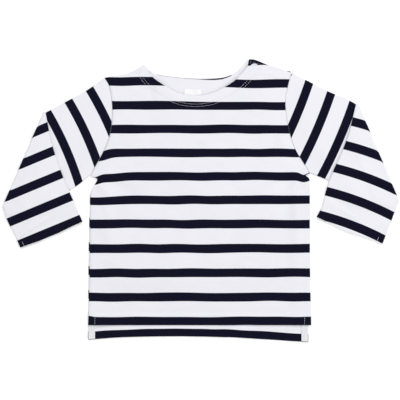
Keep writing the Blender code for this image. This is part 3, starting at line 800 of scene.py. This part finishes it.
def sleeve_piece(sleeve, material):
    """One sleeve: a thin tube of cloth, folded over at the elbow."""
    outward = sleeve["outward"]
    top = Path(sleeve["top"])
    bottom = Path(sleeve["bottom"])
    fold_start = np.array(sleeve["top"][-1])
    fold_end = np.array(sleeve["bottom"][-1])
    along_fold = (fold_end - fold_start) / np.linalg.norm(fold_end - fold_start)
    away = np.array((along_fold[1], -along_fold[0]))
    if away[0] * outward < 0:
        away = -away
    inset = -away * FOLD_AXIS
    armhole = Path(tuple(reversed(sleeve["armhole"])))
    seam = np.array((outward * SEAM_GAP, 0.0))
    ends = armhole.at(np.array((0.0, 1.0)))
    forearm_top = Path(sleeve["forearm_top"])
    forearm_bottom = Path(sleeve["forearm_bottom"])
    rest_drop = 2 * FOLD_AXIS - SLEEVE_HEIGHT
    middle_radius = FOLD_AXIS - SLEEVE_HEIGHT / 2
    grain = np.array((outward * math.cos(SLEEVE_GRAIN), -math.sin(SLEEVE_GRAIN)))
    cross = np.array((-grain[1], grain[0]))
    shoulder = np.array(sleeve["top"][0])
    fold_point = fold_start + inset
    bulge_at, bulge_out = sleeve["cuff_bulge"]
    cuff_line = np.array(sleeve["forearm_bottom"][-1]) - np.array(sleeve["forearm_top"][-1])
    cuff_way = np.array((-cuff_line[1], cuff_line[0])) / np.linalg.norm(cuff_line)
    if cuff_way[1] > 0:
        cuff_way = -cuff_way

    def stripe_level(place, stripes, way):
        """How far along the sleeve a place lies, measured by its stripes."""
        steepness, repeat, first, bow, bow_middle = stripes
        turn = math.radians(steepness)
        normal = np.array((way * math.cos(turn), -math.sin(turn)))
        far = (place - shoulder) @ normal
        side = (place - shoulder) @ np.array((-normal[1], normal[0]))
        return (far - first - bow * (side - bow_middle) ** 2) * STRIPE_PITCH / repeat + SLEEVE_STRIPE

    def upper_level(place):
        return stripe_level(place, sleeve["upper_stripes"], outward)

    def forearm_level(place):
        return stripe_level(place, sleeve["forearm_stripes"], -outward) + level_step

    level_step = 0.0
    fold_middle = (fold_start + fold_end) / 2
    step = upper_level(fold_middle) + FOLD_CLOTH - forearm_level(fold_middle)
    level_step = round(step / STRIPE_PITCH) * STRIPE_PITCH

    def cloth_place(flat, level):
        return np.stack([(flat - shoulder) @ cross, level], axis=-1)

    def puff(along, across):
        crown = np.sin(math.pi * np.clip(across, 0.0, 1.0))
        ends_shut = ease(along / SHUT_AT_ENDS) * ease(abs(along - 1.0) / SHUT_AT_ELBOW)
        shut = ends_shut * ease((2.0 - along) / SHUT_AT_ENDS)
        return np.maximum(0.0, (SLEEVE_PUFF + fold_height(SLEEVE_FOLDS, along, across)) * crown * shut)

    def uncovered(place):
        """0 where the forearm lies on the upper arm, rising to 1 beyond its inner edge."""
        inner = forearm_top.x_at(place[:, 1])
        return ease((outward * (inner - place[:, 0]) - PUFF_START) / PUFF_RUN)

    def upper_arm(along):
        start = top.at(along) + inset * along
        end = bottom.at(along) + inset * along
        made = []
        for across, height, layer in flat_ring(np.linalg.norm(end - start), SLEEVE_HEIGHT, CLOTH, SLEEVE_RUN):
            share = across[:, None]
            bulge = armhole.at(across) - mix(ends[0], ends[1], share)
            place = mix(start, end, share) + bulge * (1.0 - along) ** 2 + seam
            level = height + layer * puff(along, across) * uncovered(place)
            flat = place - seam
            made.append((np.column_stack([place, level]), cloth_place(flat, upper_level(flat))))
        return made

    def fold(angle):
        start = fold_start + inset + seam
        end = fold_end + inset + seam
        made = []
        for across, height, _ in flat_ring(np.linalg.norm(end - start), SLEEVE_HEIGHT, CLOTH, SLEEVE_RUN):
            share = across[:, None]
            radius = FOLD_AXIS - height
            line = mix(start, end, share)
            place = line + away * (radius * math.sin(angle))[:, None]
            level = FOLD_AXIS - radius * math.cos(angle)
            along_cloth = mix(upper_level(line - seam), forearm_level(line - seam), angle / math.pi)
            cloth = cloth_place(line - seam + away * middle_radius * angle, along_cloth)
            made.append((np.column_stack([place, level]), cloth))
        return made

    def forearm(along):
        start = forearm_top.at(along) + inset * (1.0 - along) ** INSET_POWER + seam
        end = forearm_bottom.at(along) + inset * (1.0 - along) ** INSET_POWER + seam
        length = (forearm_top.length + forearm_bottom.length) / 2
        to_cuff = length * (1.0 - along)
        hem = CUFF_EXTRA * (1.0 - ease((to_cuff - CUFF_HEM) / CUFF_SLOPE))
        grooves = sum(stitch_groove(to_cuff, distance, CUFF_GROOVE_WIDTH) for distance in CUFF_STITCHING)
        rim = math.sqrt(max(0.0, 1.0 - (1.0 - min(1.0, to_cuff / CUFF_RIM)) ** 2))
        thick = (CLOTH + hem) * mix(CUFF_RIM_SHARE, 1.0, rim) - CUFF_GROOVE_DEPTH * grooves
        full = SLEEVE_HEIGHT + 2 * hem
        made = []
        for across, height, layer in flat_ring(np.linalg.norm(end - start), full, thick, SLEEVE_RUN):
            share = across[:, None]
            hump = np.exp(-(((share - bulge_at) / CUFF_BULGE_WIDTH) ** 2))
            bulge = bulge_out * hump * along**CUFF_BULGE_POWER
            place = mix(start, end, share) + bulge * cuff_way
            beyond = bottom.y_at(place[:, 0]) - place[:, 1]
            drop = rest_drop * ease((beyond - DRAPE_START) / DRAPE_RUN)
            level = 2 * FOLD_AXIS - height + 2 * hem + (1.0 - layer) * puff(1.0 + along, across) - drop
            back = (place - seam - fold_point) @ along_fold
            flat = 2 * (fold_point + back[:, None] * along_fold) - (place - seam)
            flat = flat + away * math.pi * middle_radius
            cloth = cloth_place(flat, forearm_level(place - seam))
            made.append((np.column_stack([place, level]), cloth))
        return made

    rings = [upper_arm(along) for along in np.linspace(0.0, 1.0, UPPER_ARM_RINGS)]
    rings += [fold(angle) for angle in np.linspace(0.0, math.pi, FOLD_RINGS)[1:]]
    rings += [forearm(along) for along in half_fine(FOREARM_RINGS, CUFF_FINE, False)[1:]]
    size = len(rings[0][0][0])
    points = np.concatenate([loop[0] for ring in rings for loop in ring])
    cloth = np.concatenate([loop[1] for ring in rings for loop in ring])
    around = np.arange(size)
    after = np.roll(around, -1)
    faces = []
    for i in range(len(rings) - 1):
        a = 2 * size * i
        b = a + 2 * size
        faces.append(np.stack([a + around, a + after, b + after, b + around], axis=1))
        a += size
        b += size
        faces.append(np.stack([a + after, a + around, b + around, b + after], axis=1))
    last = 2 * size * (len(rings) - 1)
    faces.append(np.stack([after, around, size + around, size + after], axis=1))
    faces.append(np.stack([last + around, last + after, last + size + after, last + size + around], axis=1))
    faces = np.concatenate(faces)
    if outward < 0:
        faces = faces[:, ::-1]
    return new_piece(sleeve["name"] + "_cloth", points, faces.tolist(), cloth, material)


def ruled_piece(name, foot, edge, columns, rows, base, thickness, material):
    """A thin strip between two edges, lying at a height, with rounded edges."""
    across = edge_shares(columns, (0.002, 0.006, 0.012))
    along = edge_shares(rows, (0.01, 0.03, 0.06))
    low = Path(foot).at(across)
    high = Path(edge).at(across)
    x = mix(low[None, :, 0], high[None, :, 0], along[:, None])
    y = mix(low[None, :, 1], high[None, :, 1], along[:, None])
    outline = np.concatenate([low, high[::-1], low[:1]])
    to_edge = np.full(x.shape, 1e9)
    for a, b in zip(outline, outline[1:]):
        run = b - a
        share = np.clip(((x - a[0]) * run[0] + (y - a[1]) * run[1]) / max(run @ run, 1e-9), 0.0, 1.0)
        to_edge = np.minimum(to_edge, np.hypot(x - a[0] - share * run[0], y - a[1] - share * run[1]))
    level = base(x, y) if callable(base) else base + 0.0 * x
    half = rounded(to_edge, thickness, thickness / 2)
    return shell(name, x, y, level + thickness / 2 - half, level + thickness / 2 + half, x, y, material)


def tape_piece(name, inner_x, outer_x, material):
    left = min(inner_x, outer_x)
    right = max(inner_x, outer_x)
    foot = [(x, BACK_HEM_PATH.y_at(x) + TAPE_FOOT) for x in (left, (left + right) / 2, right)]
    edge = [(x, TAPE_TOP) for x in (left, (left + right) / 2, right)]
    return ruled_piece(name, foot, edge, 14, 60, lambda x, y: back_top(x, y) + GAP, TRIM_CLOTH, material)


def popper_piece(material):
    """A round press stud half with a raised rim, a groove and a small socket, turned from its outline."""
    base = 2 * CLOTH + 2 * GAP
    points = []
    for step in range(POPPER_STEPS):
        turn = math.tau * step / POPPER_STEPS
        for radius, height in POPPER_OUTLINE:
            x = POPPER_CENTRE[0] + radius * math.cos(turn)
            y = POPPER_CENTRE[1] + radius * math.sin(turn)
            points.append((x, y, base + height))
    count = len(POPPER_OUTLINE)
    faces = []
    for step in range(POPPER_STEPS):
        a = step * count
        b = (step + 1) % POPPER_STEPS * count
        for j in range(count):
            k = (j + 1) % count
            faces.append((a + j, b + j, b + k, a + k))
    return new_piece("popper_half", points, faces, None, material, 40.0)


class Sewing:
    """Collects stitches, small rounded bars that follow the cloth under them, for one piece of thread."""

    def __init__(self, name, material):
        self.name = name
        self.material = material
        self.points = []
        self.faces = []
        self.cloth = []

    def stitch(self, start, end, cloth_tree, radius=THREAD / 2):
        """One stitch between two plan places on the cloth."""
        start = np.array(start)
        end = np.array(end)
        run = end - start
        side = np.array((-run[1], run[0])) / np.linalg.norm(run)
        first = len(self.points)
        for step in range(STITCH_STEPS):
            share = step / (STITCH_STEPS - 1)
            place = start + run * share
            hit = cloth_tree.ray_cast(Vector((place[0] * MM, place[1] * MM, 0.1)), Vector((0, 0, -1)))[0]
            if hit is None:
                del self.points[first:]
                del self.cloth[first:]
                return
            swell = math.sin(math.pi * (0.12 + 0.76 * share))
            height = hit.z / MM + radius * (0.9 * swell - 0.35)
            for k in range(STITCH_SIDES):
                turn = math.tau * k / STITCH_SIDES
                out = radius * swell
                spot = place + side * out * math.cos(turn)
                self.points.append((spot[0], spot[1], height + out * math.sin(turn)))
                self.cloth.append((share * STITCH, turn * radius))
        for step in range(STITCH_STEPS - 1):
            for k in range(STITCH_SIDES):
                a = first + step * STITCH_SIDES + k
                b = first + step * STITCH_SIDES + (k + 1) % STITCH_SIDES
                self.faces.append((a, b, b + STITCH_SIDES, a + STITCH_SIDES))
        self.faces.append(tuple(first + k for k in reversed(range(STITCH_SIDES))))
        last = first + (STITCH_STEPS - 1) * STITCH_SIDES
        self.faces.append(tuple(last + k for k in range(STITCH_SIDES)))

    def line(self, places, cloth_tree, stitch=STITCH, space=STITCH_SPACE, radius=THREAD / 2):
        """A row of stitches along a line of plan places."""
        places = np.asarray(places, float)
        spans = np.linalg.norm(np.diff(places, axis=0), axis=1)
        at = np.concatenate([[0.0], np.cumsum(spans)])
        here = space / 2
        while here + stitch < at[-1]:
            x = np.interp((here, here + stitch), at, places[:, 0])
            y = np.interp((here, here + stitch), at, places[:, 1])
            self.stitch((x[0], y[0]), (x[1], y[1]), cloth_tree, radius)
            here += stitch + space

    def piece(self):
        return new_piece(self.name, self.points, self.faces, self.cloth, self.material, 50.0)


def moved_off(places, distance):
    """The line moved to its right by a distance."""
    places = np.asarray(places, float)
    run = np.gradient(places, axis=0)
    run /= np.linalg.norm(run, axis=1)[:, None]
    return places + np.column_stack([run[:, 1], -run[:, 0]]) * distance


def tree_of(*pieces):
    """The pieces' faces as one tree, for finding the cloth below a stitch."""
    points = []
    faces = []
    for piece in pieces:
        first = len(points)
        points += [vertex.co.copy() for vertex in piece.data.vertices]
        faces += [[first + index for index in face.vertices] for face in piece.data.polygons]
    return BVHTree.FromPolygons(points, faces)


def make_sewing(front_tree, placket_tree, shoulder_tree, sleeve_trees):
    """White thread at the neck, placket, hem, vents and cuffs, and a navy tack at the shoulder."""
    white = thread_material("white_thread", THREAD_LIT_CROWN, THREAD_SHADED_GROOVE)
    neck = Sewing("neck_stitching", white)
    neck_line = Path(FRONT_NECK).at(np.linspace(0.0, 1.0, 300))
    for start, end in NECK_STITCHING:
        line = moved_off(neck_line, np.linspace(start, end, len(neck_line))[:, None])
        neck.line(line, front_tree, STITCH, NECK_STITCH_SPACE, NECK_THREAD / 2)
    placket = Sewing("placket_stitching", white)
    for line in PLACKET_STITCHING:
        line = Path(line).at(np.linspace(0.0, 1.0, 40))
        placket.line(line, placket_tree, PLACKET_STITCH, PLACKET_STITCH_SPACE, NECK_THREAD / 2)
    # The navy tack's twist gets a painted highlight from NAVY_LIGHT and painted shade from NAVY
    tack = Sewing("shoulder_tack", thread_material("navy_thread", NAVY_LIGHT, NAVY))
    for start, end in SHOULDER_TACK:
        tack.stitch(start, end, shoulder_tree, SHOULDER_TACK_RADIUS)
    hem = Sewing("hem_stitching", white)
    for rise in HEM_STITCHING:
        hem.line([(x, FRONT_HEM_Y + rise) for x in HEM_STITCHING_ENDS], front_tree)
    vents = Sewing("vent_stitching", white)
    for x in VENT_STITCHING_X:
        vents.line([(x, FRONT_HEM_Y + rise) for rise in VENT_STITCHING_RISE], front_tree)
    cuffs = Sewing("cuff_stitching", white)
    for sleeve, tree in sleeve_trees:
        start = np.array(sleeve["forearm_top"][-1])
        end = np.array(sleeve["forearm_bottom"][-1])
        up_start = np.array(sleeve["forearm_top"][-2])
        up_end = np.array(sleeve["forearm_bottom"][-2])
        for distance in CUFF_STITCHING:
            a = start + (up_start - start) / np.linalg.norm(up_start - start) * distance
            b = end + (up_end - end) / np.linalg.norm(up_end - end) * distance
            cuffs.line([mix(a, b, 0.02), mix(a, b, 0.98)], tree)
        cuffs.line(sleeve["seam_tack"], tree, TACK_STITCH, TACK_STITCH_SPACE)
    return [sewing.piece() for sewing in (neck, placket, tack, hem, vents, cuffs)]


def add_floor():
    nodes = Nodes("pale_floor")
    nodes.shader.inputs["Base Color"].default_value = FLOOR_COLOUR
    nodes.shader.inputs["Emission Color"].default_value = (1.0, 1.0, 1.0, 1.0)
    nodes.shader.inputs["Emission Strength"].default_value = FLOOR_GLOW
    mesh = bpy.data.meshes.new("floor")
    corners = ((-1, -1), (1, -1), (1, 1), (-1, 1))
    points = [(FLOOR_HALF * x, FLOOR_HALF * y, FLOOR_LEVEL) for x, y in corners]
    mesh.from_pydata(points, [], [(0, 1, 2, 3)])
    mesh.materials.append(nodes.finish(1.0, 0.0, 0.0))
    floor = bpy.data.objects.new("floor", mesh)
    bpy.context.collection.objects.link(floor)


def add_light(name, place, size, power):
    data = bpy.data.lights.new(name, "AREA")
    data.shape = "SQUARE"
    data.size = size
    data.energy = power
    light = bpy.data.objects.new(name, data)
    light.location = place
    light.rotation_euler = (-Vector(place)).to_track_quat("-Z", "Y").to_euler()
    bpy.context.collection.objects.link(light)


def add_lights_and_camera():
    add_light("softbox_top", (0.4, 1.3, 2.2), 1.6, 26.0)
    add_light("softbox_side", (1.8, -0.6, 2.0), 1.4, 9.5)
    world = bpy.data.worlds.new("studio")
    world.use_nodes = True
    background = world.node_tree.nodes["Background"]
    background.inputs["Color"].default_value = (1.0, 1.0, 1.0, 1.0)
    way = world.node_tree.nodes.new("ShaderNodeTexCoord")
    split = world.node_tree.nodes.new("ShaderNodeSeparateXYZ")
    level = world.node_tree.nodes.new("ShaderNodeMapRange")
    world.node_tree.links.new(way.outputs["Generated"], split.inputs["Vector"])
    world.node_tree.links.new(split.outputs["Z"], level.inputs["Value"])
    level.inputs["To Min"].default_value = HORIZON_LIGHT
    level.inputs["To Max"].default_value = ZENITH_LIGHT
    world.node_tree.links.new(level.outputs["Result"], background.inputs["Strength"])
    bpy.context.scene.world = world
    data = bpy.data.cameras.new("camera")
    data.sensor_width = SENSOR
    data.lens = SENSOR * CAMERA_HEIGHT / FRAME_WIDTH
    data.clip_end = 20.0
    camera = bpy.data.objects.new("camera", data)
    camera.location = (FRAME_CENTRE[0] * MM, FRAME_CENTRE[1] * MM, CAMERA_HEIGHT * MM)
    bpy.context.collection.objects.link(camera)
    bpy.context.scene.camera = camera
    settings = bpy.context.scene.view_settings
    settings.view_transform = "Standard"
    settings.look = "None"


def main():
    add_lights_and_camera()
    add_floor()

    front = front_piece(knit_material("front_knit", FRONT_STRIPE))
    back = back_piece(knit_material("back_knit", BACK_STRIPE))
    sleeve_knit = knit_material("sleeve_knit", SLEEVE_STRIPE)
    left = sleeve_piece(LEFT_SLEEVE, sleeve_knit)
    right = sleeve_piece(RIGHT_SLEEVE, sleeve_knit)
    white_knit = knit_material("facing_knit")
    navy_knit = plain_navy_material("placket_knit")
    on_back = CLOTH + GAP
    facing = ruled_piece("facing_cloth", FACING_FOOT, FACING_EDGE, 110, 30, on_back, TRIM_CLOTH, white_knit)
    placket = ruled_piece("placket_cloth", PLACKET_FOOT, PLACKET_EDGE, 70, 16, on_back, CLOTH, navy_knit)
    top_left, top_right, foot_right, foot_left = LABEL_CORNERS
    label = ruled_piece(
        "label_satin",
        (foot_left, foot_right),
        (top_left, top_right),
        30,
        20,
        CLOTH + 2 * GAP + TRIM_CLOTH,
        LABEL_CLOTH,
        satin_material("label_weave"),
    )
    left_edge = BACK_HEM[0][0] + TAPE_INSET
    right_edge = BACK_HEM[-1][0] - TAPE_INSET
    tape = tape_material("tape_weave")
    tape_left = tape_piece("tape_left", left_edge + TAPE_WIDTH, left_edge, tape)
    tape_right = tape_piece("tape_right", right_edge - TAPE_WIDTH, right_edge, tape)
    popper = popper_piece(plastic_material("popper_plastic"))
    sleeve_trees = ((LEFT_SLEEVE, tree_of(left)), (RIGHT_SLEEVE, tree_of(right)))
    sewing = make_sewing(tree_of(front), tree_of(placket), tree_of(front, right), sleeve_trees)

    for piece, node, slot in (
        (front, "front_panel", "body_knit"),
        (back, "back_panel", "body_knit"),
        (left, "sleeve_left", "sleeve_knit"),
        (right, "sleeve_right", "sleeve_knit"),
        (facing, "neck_facing", "facing_jersey"),
        (label, "neck_label", "label_satin"),
        (placket, "shoulder_placket", "placket_knit"),
        (popper, "popper", "popper_plastic"),
        (tape_left, "vent_tape_left", "vent_tape"),
        (tape_right, "vent_tape_right", "vent_tape"),
    ):
        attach(piece, "root")
        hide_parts(node)
    for piece in sewing:
        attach(piece, "root")


main()
